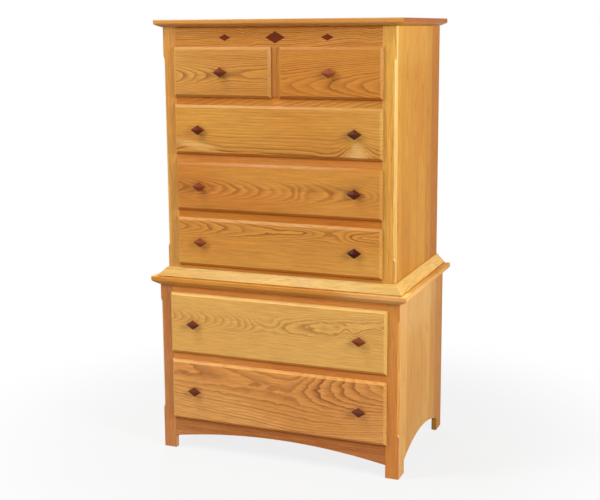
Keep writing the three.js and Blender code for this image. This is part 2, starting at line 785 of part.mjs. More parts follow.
for (const [side, sign] of Object.entries(SIDES)) {
  const [left, right] = outward(sign, DIVIDER_WIDTH / 2, upper.opening);
  addDrawer(`small_drawer_${side}`, upper, left, right, smallTier, { knob: (left + right) / 2 });
}
for (let number = 1; number < UPPER_TIERS; number += 1) {
  const tier = upper.tiers[UPPER_TIERS - 1 - number];
  addDrawer(`upper_drawer_${number}`, upper, -upper.opening, upper.opening, tier, wideKnobs(upper));
}
for (let number = 1; number <= LOWER_TIERS; number += 1) {
  const tier = lower.tiers[LOWER_TIERS - number];
  addDrawer(`lower_drawer_${number}`, lower, -lower.opening, lower.opening, tier, wideKnobs(lower));
}

export default chest;
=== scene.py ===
"""A chest on chest in oiled oak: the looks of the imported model, its stage and its camera."""

import json
import math
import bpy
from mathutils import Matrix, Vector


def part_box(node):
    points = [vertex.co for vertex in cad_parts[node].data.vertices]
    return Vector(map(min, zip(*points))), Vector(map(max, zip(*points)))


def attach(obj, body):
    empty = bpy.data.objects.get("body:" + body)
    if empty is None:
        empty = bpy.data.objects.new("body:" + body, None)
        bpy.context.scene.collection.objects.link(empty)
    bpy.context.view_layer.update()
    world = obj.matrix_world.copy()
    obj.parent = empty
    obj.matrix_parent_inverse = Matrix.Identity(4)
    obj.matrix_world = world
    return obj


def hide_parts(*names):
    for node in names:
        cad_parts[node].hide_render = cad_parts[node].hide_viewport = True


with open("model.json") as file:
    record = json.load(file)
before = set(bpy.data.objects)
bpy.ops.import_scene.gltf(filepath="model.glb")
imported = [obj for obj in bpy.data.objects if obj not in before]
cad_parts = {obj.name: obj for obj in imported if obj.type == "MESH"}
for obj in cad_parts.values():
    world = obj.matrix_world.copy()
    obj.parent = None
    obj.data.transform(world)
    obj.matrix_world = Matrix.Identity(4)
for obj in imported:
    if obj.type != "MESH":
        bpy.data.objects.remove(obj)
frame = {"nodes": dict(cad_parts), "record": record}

import zlib

import bmesh
import bpy
from bpy.props import FloatProperty, FloatVectorProperty, PointerProperty
from mathutils import Matrix, Vector

bl_info = {
    "name": "Oak Chest on Chest",
    "version": (1, 0, 0),
    "blender": (4, 5, 0),
    "location": "View3D > Sidebar > Chest",
    "description": "Dresses the chest on chest in oak and sets its studio stage",
    "category": "Object",
}

MM = 0.001
NODES = frame["nodes"]
BODY_OF = {
    node: body
    for body, members in frame["record"]["behaviour"]["bodies"].items()
    for node in members
}

# The camera's place in metres, turns in degrees, lens in millimetres and shift in widths of the picture.
CAMERA_PLACE = (1.5589, -3.9565, 1.6366)
CAMERA_TURN = {"yaw": 21.672, "down": 9.902, "roll": -0.393}
CAMERA_LENS = 65.797
CAMERA_SHIFT_UP = -0.05

# Each lamp's place, what it aims at, and its width and height, in metres.
LAMPS = {
    "right": ((4.4, -1.8, 2.5), (0.2, 0, 0.9), (1.3, 2.0)),
    "left": ((-3.14, -2.45, 3.1), (0, 0, 0.8), (0.8, 0.8)),
    "top": ((-1.45, -1.35, 4.45), (0, -0.3, 0.9), (1.2, 1.2)),
    "back": ((-2.6, 4.2, 3.6), (0, 0, 0.8), (1.6, 1.6)),
}

# The floor's reach, and how far from the chest's middle it starts to pale and is plain white, in metres.
FLOOR_REACH = 30
FLOOR_FADE = (0.7, 1.7)
FLOOR_GREY = (0.5, 0.5, 0.5, 1)
WHITE = (1, 1, 1, 1)

# Points nearer than WELD are one point, faces that turn less than FLAT are one face, and an edge that turns
# more than SHARP is eased.
WELD = 0.02 * MM
FLAT = math.radians(0.5)
SHARP = math.radians(20)

# An edge of the top or waist board that comes this near to the back stays sharp, unless it is longer than
# LONG from front to back. The other edges of these boards are eased with more segments than other pieces'.
BACK_STRIP = 20 * MM
LONG = 300 * MM
SEGMENTS = 2
BOARD_SEGMENTS = 4

# The model's axes that run along, across and through the grain.
FRONT_AXES = "xzy"
STILE_AXES = "zxy"
SIDE_AXES = "zyx"
TOP_AXES = "xyz"
BOX_AXES = "yzx"

# Where faces lie on the axis that runs through the grain, in millimetres.
FRAME_FACE = -266
KNOB_FACE = -280
BACK_FACE = 322

# How squarely a surface looks along an axis, from 0 to 1, where it starts to count and where it fully counts:
# as end grain, as a bevel that looks up or down, and as the plain face of a board.
ENDWAYS = (0.6, 0.9)
TURNED = (0.1, 0.3)
FACE_ON = (0.8, 0.97)

# Levels of the noise between which a pore opens, and between which the ground drifts to its warmer colour.
PORE_EDGE = (0.54, 0.66)
DRIFT = (0.35, 0.65)

# How dark the faintest ring is beside the darkest, how strongly the fibre breaks the rings up, and how much
# fainter the grain is on a bevel.
FAINT_RING = 0.4
BREAKS = 1.6
BEVEL_CALM = 0.6

# How dark and how deep a pore is between the rings, and how much more so in the dark part of a ring.
PORE_DARK = 0.15
PORE_DARK_IN_RING = 0.6
PORE_DEEP = 0.3
PORE_DEEP_IN_RING = 0.7

# How high the fibre stands, and what the fibre and the pores add to the roughness.
FIBRE_HIGH = 0.3
FIBRE_ROUGH = 0.1
PORE_ROUGH = 0.12

# How a piece's seed is made from its name's checksum: where its three parts start, their range and step.
SEED_SHIFTS = (0, 9, 18)
SEED_RANGE = 997
SEED_STEP = 0.37

# A board's left part ends in this stretch beside its turn, in metres.
LEFT_PART = (-0.1, 0.08)

# The painted shadow in the joint over a rail: half its width in millimetres, and its colour.
PAINTED_JOINT_SHADE_WIDTH = 7
PAINTED_JOINT_SHADE = (0.86, 0.62, 0.42)

# A board's grain, in millimetres and the model's frame. The rings are the trunk's circles, cut by the face.
PLAIN = {
    "off": 0,  # From the piece's middle to the line over the pith, for a board that has no centre of its own.
    "depth": 110,  # How far the pith lies behind the face.
    "slope": 0.03,  # How fast it nears the face on both sides of the turn, so that the rings end in arches.
    "turn": 0,  # Where the arches turn, along the grain.
    "soft": 40,  # How round their tips are.
    "lean": 0,  # How fast the pith nears the face along the whole board.
    "climb": 0,  # How fast the line over the pith rises on both sides of the turn.
    "tilt": 0,  # How fast that line rises along the whole board.
    "ring": 3.2,  # The width of a ring.
    "contrast": 1.0,  # The darkness of the rings.
    "sway": 8,  # How far the line over the pith wanders.
    "roll": 5,  # How far the pith's depth wanders.
    "jag": 1.2,  # How ragged the rings are.
    "tone": 1.0,  # The brightness of the board.
    "warmth": 0.0,  # Its share of the warmer ground colour, over the common one.
    "lift": 0,  # In metres: where the noise of a glued board is read, so that it differs from its neighbour.
    "knots": (),  # Each one's places along and across, half width, half height and how far the rings swell.
    "patches": (),  # The same four, then their tilt, and how pale they are, or below 0 how warm.
    "band": 0,  # How far from the line over the pith the rings stay strong, or 0 for everywhere.
    "calm": 1.0,  # The share of their contrast that is left outside that band.
    "left": 1.0,  # The share of the contrast and raggedness that the part left of the turn has.
    "fibre": 1.0,  # The strength of the streaks.
    "upper_bevel": None,  # Painted light and shade on the bevels that look up.
    "stain": None,  # The height of the joint that gets a painted shadow line.
    "onset": 0.1,  # The share of a ring in which it darkens.
    "fade": 2.4,  # How early in a ring its dark part ends.
}

FRONT_GRAIN = {
    "small_drawer_left": {
        "centre": 1474, "depth": 95, "slope": 0.042, "lean": -0.03, "turn": -200, "soft": 20, "tilt": 0.02,
        "contrast": 1.7, "band": 60, "calm": 0.4, "fibre": 1.4, "upper_bevel": (0.8, 0.72, 0.63),
    },
    "small_drawer_right": {
        "centre": 1438, "depth": 120, "slope": 0.055, "turn": -30, "soft": 20, "ring": 3.8, "sway": 5,
        "warmth": 0.5, "contrast": 1.2, "fibre": 1.3, "upper_bevel": (0.8, 0.72, 0.63),
    },
    "upper_drawer_1": {
        "centre": 1130, "depth": 60, "slope": 0.01, "turn": -60, "soft": 60, "contrast": 2.0, "sway": 14,
        "ring": 11, "jag": 2, "band": 85, "calm": 0.15, "fibre": 1.6, "upper_bevel": (0.8, 0.75, 0.65),
        "knots": ((320, 1196, 46, 62, -38), (-330, 1214, 90, 34, -18), (210, 1190, 60, 50, 8)),
        "patches": (
            (320, 1190, 46, 20, 0, 0.95), (320, 1216, 24, 22, 0, 0.9), (-325, 1208, 90, 15, -0.14, 0.85),
            (-120, 1180, 70, 13, 0.12, -1.0),
        ),
    },
    "upper_drawer_2": {
        "centre": 1047, "depth": 150, "slope": 0.075, "turn": 700, "soft": 25, "ring": 3.8, "sway": 5,
        "jag": 1.6, "warmth": 0.3, "contrast": 1.35, "band": 34, "calm": 0.12, "fibre": 1.3, "fade": 1.2,
        "onset": 0.45, "upper_bevel": (0.78, 0.69, 0.55),
        "knots": ((120, 1043, 45, 22, 4), (330, 1047, 50, 22, -4)),
    },
    "upper_drawer_3": {
        "centre": 895, "depth": 110, "slope": 0.035, "turn": 165, "soft": 20, "ring": 2.4, "sway": 5,
        "warmth": 0.15, "contrast": 1.5, "band": 34, "calm": 0.3, "fibre": 1.6,
        "upper_bevel": (0.82, 0.74, 0.62),
        "knots": ((91, 897, 75, 14, -4), (235, 890, 45, 18, 3), (342, 892, 70, 10, -2)),
    },
    "lower_drawer_1": {
        "centre": 530, "depth": 110, "slope": 0.056, "lean": -0.036, "turn": -66, "soft": 12, "climb": 0.05,
        "tilt": 0.02, "sway": 14, "jag": 2.2, "contrast": 1.2, "warmth": -0.4, "band": 42, "calm": 0.22,
        "left": 0.6, "fade": 1.8, "onset": 0.2, "fibre": 1.4, "upper_bevel": (1.05, 1.08, 1.2),
        "knots": ((395, 512, 60, 44, 22), (285, 528, 22, 30, 7), (-20, 552, 60, 22, 5)),
    },
    "lower_drawer_2": {
        "centre": 280, "depth": 300, "slope": 0.06, "lean": 0.048, "turn": 70, "soft": 30, "climb": 0.2,
        "tilt": 0.07, "ring": 4.8, "sway": 7, "contrast": 1.5, "jag": 2.2, "warmth": 0.1, "left": 0.9,
        "band": 110, "calm": 0.55, "fibre": 1.8, "fade": 2.1, "onset": 0.15,
    },
}

UPRIGHT_GRAIN = {"off": 85, "turn": 900, "fibre": 2.0}
UPRIGHTS = {
    "upper_stile_left": {},
    "upper_stile_right": {"warmth": -0.1},
    "lower_stile_left": {"warmth": 0.4},
    "lower_stile_right": {"warmth": 0.4},
    "small_drawer_divider": {"warmth": 0.6},
}

# Under is the piece whose lower edge the rail's painted shadow line follows.
RAIL_GRAIN = {
    "off": -90, "depth": 70, "slope": 0.02, "turn": -900, "sway": 10, "contrast": 0.55, "fibre": 1.3,
    "warmth": 0.4,
}
RAILS = {
    "frieze_rail": {
        "centre": 1250, "turn": -1500, "tilt": 0.05, "ring": 6.5, "sway": 26, "jag": 3, "contrast": 1.4,
        "fibre": 1.8, "warmth": 0.3, "under": "top_board",
        "knots": ((-125, 1608, 26, 26, 15), (-70, 1604, 22, 24, -13), (370, 1606, 44, 30, 14)),
    },
    "upper_rail_1": {"tilt": 0.3, "contrast": 0.6, "ring": 14, "jag": 4, "under": "small_drawer_left_front"},
    "upper_rail_2": {"warmth": 0.5, "under": "upper_drawer_1_front"},
    "upper_rail_3": {"warmth": 0.5, "under": "upper_drawer_2_front"},
    "upper_base_rail": {"under": "upper_drawer_3_front"},
    "lower_top_frame": {},
    "lower_rail": {"under": "lower_drawer_1_front"},
    "apron_rail": {"contrast": 1.8, "fibre": 2.2, "under": "lower_drawer_2_front"},
}

# The boards that the top and the waist board are each glued up from, front to back, and where they meet.
TOP_SEAMS = (-180, -60, 70, 190)
TOP_BOARDS = (
    {"slope": 0.04, "centre": -240, "turn": -200, "lift": 0, "tone": 1.0},
    {"slope": 0.04, "centre": -110, "turn": 300, "lift": 0.2, "tone": 1.03},
    {"slope": 0.04, "centre": 10, "turn": -100, "lift": 0.4, "tone": 0.98},
    {"slope": 0.04, "centre": 130, "turn": 200, "lift": 0.6, "tone": 1.02},
    {"slope": 0.04, "centre": 250, "turn": 0, "lift": 0.8, "tone": 0.99},
)

# Patches on the first of those boards: the waist board's is a painted light on its right end.
TOP_PAINTED_LIGHT_PATCHES = {
    "top_board": (),
    "waist_board": ((430, -250, 180, 330, 0, 1.0),),
}
# On the bevels it is a painted light: edges lighter than the top face, which the top lamp lights strongly.
# What each board's bevels, ends and the strip by its ends are multiplied by.
TOP_TINTS = {
    "top_board": {"bevel": (1.02, 0.98, 1.33), "end": (0.63, 0.42, 0.33)},
    # The waist board's strip of the top by its ends gets a painted light.
    "waist_board": {"bevel": (1.13, 1.13, 1.32), "end": (1.08, 1.18, 1.2), "margin": (1.6, 1.9, 2.0)},
}
# The width of the strip at each end of a board's top that gets the painted light.
MARGIN = 20 * MM

# The boards of the sides, front to back, and where they meet.
SIDE_SEAMS = (-196, -76, 34, 134, 212)
SIDE_BOARDS = (
    {"slope": 0.02, "contrast": 0.45, "centre": -230, "turn": 1000, "lift": 0, "tone": 1.06, "warmth": -0.4},
    {"slope": 0.02, "contrast": 0.45, "centre": -130, "turn": 1500, "lift": 0.2, "tone": 1.0, "warmth": 0},
    {"slope": 0.02, "contrast": 0.45, "centre": -20, "turn": 300, "lift": 0.4, "tone": 1.02, "warmth": 0},
    {"slope": 0.02, "contrast": 0.45, "centre": 90, "turn": 1300, "lift": 0.6, "tone": 1.04, "warmth": -0.2},
    {"slope": 0.02, "contrast": 0.45, "centre": 170, "turn": 700, "lift": 0.8, "tone": 0.98, "warmth": 0.1},
    {"slope": 0.02, "contrast": 0.45, "centre": 270, "turn": 900, "lift": 1.0, "tone": 0.92, "warmth": 0.9},
)

# Patches on a side's first board, the first place of each counted down from the side's top.
SIDE_PATCHES = ((60, -60, 90, 300, 0, 0.35), (350, 60, 130, 30, 0, -0.6))

# Each length of the waist moulding: its axes, where its face lies and the contrast of its grain.
MOULDINGS = {
    "front": (FRONT_AXES, -300, 1.5),
    "left": (BOX_AXES, -480, 0.8),
    "right": (BOX_AXES, 480, 0.8),
}
MOULDING_GRAIN = {
    "off": 60, "depth": 60, "slope": 0.02, "turn": 600, "tilt": 0.06, "ring": 5, "warmth": -0.4, "jag": 3,
    "fibre": 1.8,
}

# The pieces behind the front, by a word in their names: their axes, where their face lies and their grain.
INSIDES = {
    "_back": (STILE_AXES, BACK_FACE, {"centre": 60, "depth": 200, "slope": 0.1, "ring": 12, "sway": 60}),
    "_box": (BOX_AXES, 0, {"off": -60, "depth": 90, "ring": 7}),
    "_frame": (TOP_AXES, 0, {"centre": 0, "depth": 90, "ring": 7}),
}

KNOB_GRAIN = {"off": -40, "depth": 30, "ring": 2.2, "slope": 0.2, "jag": 0.6}

# How each piece's wood departs from the common ground colour, in red, green and blue.
# Some rails in the shade of the parts above, such as lower_top_frame and lower_rail, are lightened too: a
# painted light.
SHADES = {
    "small_drawer_left_front": (0.89, 0.91, 1.16),
    "small_drawer_right_front": (0.91, 0.87, 0.93),
    "upper_drawer_1_front": (0.9, 0.92, 1.03),
    "upper_drawer_2_front": (0.91, 0.88, 1.0),
    "upper_drawer_3_front": (0.99, 1.04, 1.25),
    "lower_drawer_1_front": (1.09, 1.26, 1.97),
    "lower_drawer_2_front": (1.13, 1.17, 1.95),
    "upper_stile_left": (0.97, 0.98, 1.05),
    "upper_stile_right": (1.12, 1.24, 1.2),
    "lower_stile_left": (0.97, 0.88, 1.3),
    "lower_stile_right": (1.13, 1.06, 0.94),
    "small_drawer_divider": (0.93, 0.82, 0.67),
    "frieze_rail": (0.98, 1.04, 1.6),
    "upper_rail_1": (1.0, 1.02, 1.4),
    "upper_rail_2": (1.08, 1.02, 1.5),
    "upper_rail_3": (1.0, 0.88, 1.0),
    "upper_base_rail": (1.17, 1.24, 2.0),
    "lower_top_frame": (1.27, 1.3, 2.2),
    "lower_rail": (1.16, 1.12, 1.9),
    "apron_rail": (0.98, 0.94, 2.0),
    "top_board": (0.9, 0.96, 1.2),
    "waist_board": (0.85, 0.8, 0.8),
    "waist_moulding_front": (0.85, 1.07, 1.27),
    "waist_moulding_left": (1.07, 1.3, 1.53),
    "waist_moulding_right": (1.15, 1.4, 1.5),
    "upper_side_left": (0.85, 0.84, 0.63),
    "upper_side_right": (0.85, 0.84, 0.63),
    "lower_side_left": (0.92, 1.03, 1.5),
    "lower_side_right": (0.92, 1.03, 1.5),
    "small_drawer_right_knob": (1.7, 2.2, 2.3),
    "upper_drawer_1_knob_left": (0.87, 0.7, 0.5),
    "upper_drawer_1_knob_right": (0.68, 0.9, 0.9),
    "upper_drawer_2_knob_left": (1.35, 1.5, 1.2),
    "upper_drawer_2_knob_right": (0.58, 0.45, 0.7),
    "upper_drawer_3_knob_left": (1.7, 1.9, 1.8),
    "upper_drawer_3_knob_right": (0.42, 0.25, 0.35),
    "lower_drawer_1_knob_right": (1.4, 1.6, 1.4),
    "lower_drawer_2_knob_left": (0.9, 1.0, 0.9),
    "lower_drawer_2_knob_right": (0.95, 1.2, 1.5),
    "frieze_inlay_left": (1.15, 0.95, 0.7),
    "frieze_inlay_centre": (1.1, 1.0, 0.7),
    "frieze_inlay_right": (1.15, 0.95, 0.8),
}

# The numbers of the Mix node's colour sockets, which share their names with its other ones.
MIX_FIRST = 6
MIX_SECOND = 7
MIX_RESULT = 2


class Field:
    """A value or colour that varies over a surface. Arithmetic on a value adds its Math nodes."""

    def __init__(self, shader, socket):
        self.shader = shader
        self.socket = socket

    def math(self, operation, *values):
        """The result of a Math node."""
        return self.shader.add("ShaderNodeMath", {"operation": operation}, values)

    def __add__(self, other):
        return self.math("ADD", self, other)

    __radd__ = __add__

    def __sub__(self, other):
        return self.math("SUBTRACT", self, other)

    def __rsub__(self, other):
        return self.math("SUBTRACT", other, self)

    def __mul__(self, other):
        return self.math("MULTIPLY", self, other)

    __rmul__ = __mul__

    def __truediv__(self, other):
        return self.math("DIVIDE", self, other)

    def __rtruediv__(self, other):
        return self.math("DIVIDE", other, self)

    def __pow__(self, power):
        return self.math("POWER", self, power)

    def __abs__(self):
        return self.math("ABSOLUTE", self)

    def __gt__(self, other):
        return self.math("GREATER_THAN", self, other)

    def __floor__(self):
        return self.math("FLOOR", self)

    def root(self):
        return self.math("SQRT", self)

    def fading(self):
        """1 where the value is 0, and less and less as it grows."""
        return self.math("EXPONENT", self * -1.0)

    def ramp(self, low, high):
        """A smooth rise from 0 at low to 1 at high."""
        sockets = {"Value": self, "From Min": low, "From Max": high}
        return self.shader.add("ShaderNodeMapRange", {"interpolation_type": "SMOOTHSTEP"}, sockets)

    def above(self, least):
        """The same share between 0 and 1, squeezed so that it never falls under least."""
        return self * (1 - least) + least


class Shader:
    """A node tree that is built from expressions."""

    def __init__(self, tree):
        self.tree = tree
        tree.nodes.clear()

    def add(self, kind, settings=None, sockets=(), output=0):
        """Adds a node with its settings, then the values or links of its sockets, and gives one output."""
        node = self.tree.nodes.new(kind)
        for name, value in (settings or {}).items():
            setattr(node, name, value)
        pairs = sockets.items() if isinstance(sockets, dict) else enumerate(sockets)
        for name, value in pairs:
            if isinstance(value, Field):
                self.tree.links.new(value.socket, node.inputs[name])
            else:
                node.inputs[name].default_value = value
        return Field(self, node.outputs[output]) if node.outputs else node

    def split(self, vector):
        """The three parts of a vector."""
        outputs = self.add("ShaderNodeSeparateXYZ", None, {"Vector": vector}).socket.node.outputs
        return [Field(self, part) for part in outputs]

    def join(self, *parts):
        """A vector or colour from its three parts."""
        return self.add("ShaderNodeCombineXYZ", None, parts)

    def coordinates(self, kind):
        """A texture coordinate's part on each axis."""
        return dict(zip("xyz", self.split(self.add("ShaderNodeTexCoord", output=kind))))

    def mix(self, share, first, second, blend="MIX"):
        """A colour between two. Each is a Field or red, green and blue."""
        first, second = (colour if isinstance(colour, Field) else (*colour, 1) for colour in (first, second))
        settings = {"data_type": "RGBA", "blend_type": blend, "clamp_factor": True}
        sockets = {"Factor": share, MIX_FIRST: first, MIX_SECOND: second}
        return self.add("ShaderNodeMix", settings, sockets, MIX_RESULT)


class Timber(Shader):
    """The wood of one piece, with its rings, fibre and pores.

    The axes run along, across and through the grain. The face lies at a place on the last of them, and the
    boards of a glued piece meet at seams on the second, in millimetres. What doesn't change from board to board,
    such as patches, is the first board's.
    """

    def __init__(self, name, axes, face, boards, look, seams):
        self.material = bpy.data.materials.new(name)
        self.material.use_nodes = True
        super().__init__(self.material.node_tree)
        self.look = look
        self.shade = SHADES.get(name, (1, 1, 1))
        self.seed = seed_of(name)
        self.seams = [seam * MM for seam in seams]
        centre = middle(name, axes[1])
        self.boards = [{"centre": centre + board.get("off", 0), **PLAIN, **board} for board in boards]
        self.first = self.boards[0]
        place = self.coordinates("Object")
        self.along, self.across, self.through = (place[axis] for axis in axes)
        self.behind_face = self.through - face * MM
        self.grain = self.join(self.along, self.across, self.through + self.each("lift"))
        looks = self.coordinates("Normal")
        self.end = abs(looks[axes[0]]).ramp(*ENDWAYS)
        self.upward = looks[axes[1]]
        self.slant = 1 - abs(looks[axes[2]]).ramp(*FACE_ON)
        self.slow = self.split(self.noise("slow", "Color"))
        self.fibre = self.noise("fibre")

    def each(self, key, factor=1.0):
        """A value of the boards, which changes at the seams where they differ."""
        values = [board[key] * factor for board in self.boards]
        value = values[0]
        if len(set(values)) > 1:
            for seam, before, after in zip(self.seams, values, values[1:]):
                value = (self.across > seam) * (after - before) + value
        return value

    def noise(self, kind, output="Fac"):
        """One of the look's noises, about 0.5."""
        scale, detail, roughness = self.look[kind]
        place = {"Vector": self.grain, "Location": self.seed, "Scale": scale}
        moved = self.add("ShaderNodeMapping", None, place)
        sockets = {"Vector": moved, "Scale": 1.0, "Detail": detail, "Roughness": roughness}
        return self.add("ShaderNodeTexNoise", None, sockets, output)

    def spot(self, x, z, wide, high, tilt=0):
        """How far off a spot's middle a place is, in the spot's half widths, squared."""
        right = self.along - x * MM
        over = self.across - z * MM
        if tilt:
            over = over - right * tilt
        right = right / (wide * MM)
        over = over / (high * MM)
        return right * right + over * over

    def radius(self, from_turn, jag):
        """How far a place is from the pith, and how far across from the line over the pith."""
        run = (from_turn * from_turn + self.each("soft", MM) ** 2).root()
        line = run * self.each("climb") + from_turn * self.each("tilt") + self.each("centre", MM)
        beside = self.across - line - (self.slow[0] - 0.5) * self.each("sway", 2 * MM)
        behind = run * self.each("slope") + from_turn * self.each("lean") - self.each("depth", MM)
        behind = behind - (self.slow[1] - 0.5) * self.each("roll", 2 * MM)
        behind = behind + self.behind_face * self.look["depth_share"]
        radius = (beside * beside + behind * behind).root() + (self.noise("quick") - 0.5) * jag
        for *where, swell in self.first["knots"]:
            radius = radius + self.spot(*where).fading() * (swell * MM)
        return radius, beside

    def rings(self):
        """How dark the growth rings are: most at a ring's start, and not at all at its end."""
        first = self.first
        from_turn = self.along - self.each("turn", MM)
        contrast = self.each("contrast")
        jag = self.each("jag", 2 * MM)
        if first["left"] < 1:
            part = from_turn.ramp(*LEFT_PART).above(first["left"])
            contrast = contrast * part
            jag = jag * part
        radius, beside = self.radius(from_turn, jag)
        if first["band"]:
            far = beside / (first["band"] * MM)
            contrast = contrast * (far * far).fading().above(first["calm"])
        count = radius / self.each("ring", MM)
        number = math.floor(count)
        passed = count - number
        settings = {"noise_dimensions": "1D"}
        strength = self.add("ShaderNodeTexWhiteNoise", settings, {"W": number + self.seed[0]})
        dark = (1 - passed) ** first["fade"] * passed.ramp(0, first["onset"])
        broken = (self.fibre - 0.5) * BREAKS + 1
        return dark * strength.above(FAINT_RING) * broken * contrast

    def painted_light_and_end_grain(self):
        """Painted highlights and shadows on bevels, by the ends and in joints, and the end grain's tint."""
        look = self.look
        first = self.first
        # A painted highlight on the bevels.
        if look["bevel"]:
            yield self.slant, look["bevel"]
        # Painted light and shade on the bevels that look up.
        if first["upper_bevel"]:
            yield self.slant * self.upward.ramp(*TURNED), first["upper_bevel"]
        # Painted shade on the bevels that look down.
        if look["lower_bevel"]:
            yield self.slant * (self.upward * -1.0).ramp(*TURNED), look["lower_bevel"]
        # Painted light on the strip of a board's top beside its ends.
        if look["margin"]:
            yield (abs(self.along) > look["margin_start"]) * (1 - self.slant), look["margin"]
        yield self.end, look["end"]
        # A painted shadow line in the joint under the piece above.
        if first["stain"]:
            off = (self.across - first["stain"] * MM) / (PAINTED_JOINT_SHADE_WIDTH * MM)
            yield (off * off).fading(), PAINTED_JOINT_SHADE

    def finished(self):
        """The material."""
        look = self.look
        first = self.first
        rings = self.rings()
        pores = self.noise("pore").ramp(*PORE_EDGE)
        pore_dark = pores * (rings * PORE_DARK_IN_RING + PORE_DARK) * look["pore_depth"]
        dark = (rings * look["ring_depth"] + pore_dark) * (1 - self.slant * BEVEL_CALM)
        warm = self.slow[2].ramp(*DRIFT) * look["tint"] + self.each("warmth")
        ground = self.mix(warm, look["light"], look["warm"])
        for *where, pale in first["patches"]:
            spot = self.spot(*where)
            patch = (spot * spot).fading() * abs(pale)
            dark = dark * (1 - patch)
            ground = self.mix(patch, ground, look["pale"] if pale > 0 else look["warm"])
        colour = self.mix(dark, ground, look["dark"])
        tone = ((self.fibre - 0.5) * (look["streaks"] * first["fibre"]) + 1) * self.each("tone")
        shade = self.join(*(tone * part for part in self.shade))
        colour = self.mix(1.0, colour, shade, "MULTIPLY")
        for share, tint in self.painted_light_and_end_grain():
            colour = self.mix(share, colour, tint, "MULTIPLY")
        height = self.fibre * FIBRE_HIGH - pores * (rings * PORE_DEEP_IN_RING + PORE_DEEP)
        relief = {"Strength": 1.0, "Distance": look["relief"], "Height": height}
        sockets = {
            "Base Color": colour,
            "Roughness": pores * PORE_ROUGH + self.fibre * FIBRE_ROUGH + look["roughness"],
            "Specular IOR Level": look["gloss"],
            "Normal": self.add("ShaderNodeBump", None, relief),
        }
        skin = self.add("ShaderNodeBsdfPrincipled", None, sockets)
        self.add("ShaderNodeOutputMaterial", None, {"Surface": skin})
        return self.material


def timber(name, axes, face, boards, look, seams=()):
    """The material of a wooden piece."""
    return Timber(name, axes, face, boards, look, seams).finished()


def seed_of(name):
    """Where a piece's noise is read, so that no two pieces are alike."""
    number = zlib.crc32(name.encode())
    return tuple((number >> shift) % SEED_RANGE * SEED_STEP for shift in SEED_SHIFTS)


def middle(name, axis):
    """Where the middle of a model part lies on an axis, in millimetres."""
    low, high = (getattr(corner, axis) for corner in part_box(name))
    return (low + high) / 2 / MM


def wood_looks(finish):
    """What each wood looks like. Its noises have grains to the metre on each axis, detail and roughness."""
    oak = {
        "light": finish.honey,
        "warm": finish.amber,
        "dark": finish.grain,
        "pale": finish.pale,
        "slow": ((1.7, 5.0, 5.0), 1.5, 0.5),
        "quick": ((20, 55, 55), 2.0, 0.5),
        "pore": ((26, 850, 850), 1.0, 0.5),
        "fibre": ((11, 210, 210), 2.5, 0.6),
        "depth_share": 0.2,  # How much of a place's depth behind the face counts for its rings.
        "ring_depth": 1.0,  # How dark the rings are.
        "pore_depth": 0.55,  # How dark the pores are.
        "tint": 0.55,  # How far the ground drifts to its warmer colour.
        "streaks": 0.5,  # How far the fibre changes the tone.
        "roughness": 0.3,
        "relief": 0.35 * MM,
        "gloss": 0.2,
        "bevel": (0.93, 1.03, 0.98),  # A painted highlight on the bevels; the next three tint other places.
        # Painted shade on the bevels that look down.
        "lower_bevel": None,
        "end": (0.7, 0.66, 0.6),
        # Painted light on the strip of the top beside the ends.
        "margin": None,
    }
    dark = {
        **oak,
        "light": finish.knob_light,
        "warm": finish.knob_warm,
        "dark": finish.knob_grain,
        "quick": ((60, 120, 120), 2.0, 0.5),
        "ring_depth": 0.45,
        "gloss": 0.08,
        "bevel": None,
    }
    pale = {
        **oak,
        "light": finish.inner_light,
        "warm": finish.inner_warm,
        "dark": finish.inner_grain,
        "ring_depth": 0.4,
        "pore_depth": 0.2,
        "roughness": 0.5,
        "bevel": None,
    }
    return {"oak": oak, "dark": dark, "pale": pale}


def clear_of_back(name):
    """A test for the edges of a board that are eased: all but those at its back."""
    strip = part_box(name)[1].y - BACK_STRIP

    def passes(edge):
        start, end = (corner.co.y for corner in edge.verts)
        return max(start, end) < strip or abs(start - end) > LONG

    return passes


def eased(name, width, segments=SEGMENTS, keep=None):
    """A copy of a model part with its sharp outer edges eased, which stands for that part."""
    shape = bmesh.new()
    shape.from_mesh(NODES[name].data)
    bmesh.ops.remove_doubles(shape, verts=shape.verts, dist=WELD)
    bmesh.ops.dissolve_limit(
        shape, angle_limit=FLAT, verts=shape.verts, edges=shape.edges, use_dissolve_boundaries=False,
    )
    edges = [
        edge
        for edge in shape.edges
        if len(edge.link_faces) == 2
        and edge.is_convex
        and edge.calc_face_angle() > SHARP
        and (keep is None or keep(edge))
    ]
    rounded = bmesh.ops.bevel(
        shape, geom=edges, offset=width, offset_type="OFFSET", segments=segments, profile=0.5,
        affect="EDGES", clamp_overlap=True, material=-1,
    )
    for face in rounded["faces"]:
        face.smooth = True
    mesh = bpy.data.meshes.new("eased_" + name)
    shape.to_mesh(mesh)
    shape.free()
    piece = bpy.data.objects.new("eased_" + name, mesh)
    bpy.context.scene.collection.objects.link(piece)
    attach(piece, BODY_OF[name])
    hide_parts(name)
    return piece


def dress(piece, material):
    """Gives an object one finish all over."""
    piece.data.materials.clear()
    piece.data.materials.append(material)


def colour_choice(name, description, default):
    """A colour that a user may change."""
    return FloatVectorProperty(
        name=name, description=description, subtype="COLOR", size=3, default=default, min=0, max=1,
    )


def radius_choice(name, description, default, most):
    """A radius that a user may change, in metres."""
    return FloatProperty(
        name=name, description=description, subtype="DISTANCE", unit="LENGTH", precision=4,
        default=default, min=0.1 * MM, max=most,
    )


def power_choice(name, description, default):
    """A lamp's power that a user may change, in watts."""
    return FloatProperty(
        name=name, description=description, subtype="POWER", unit="POWER", default=default, min=0,
    )


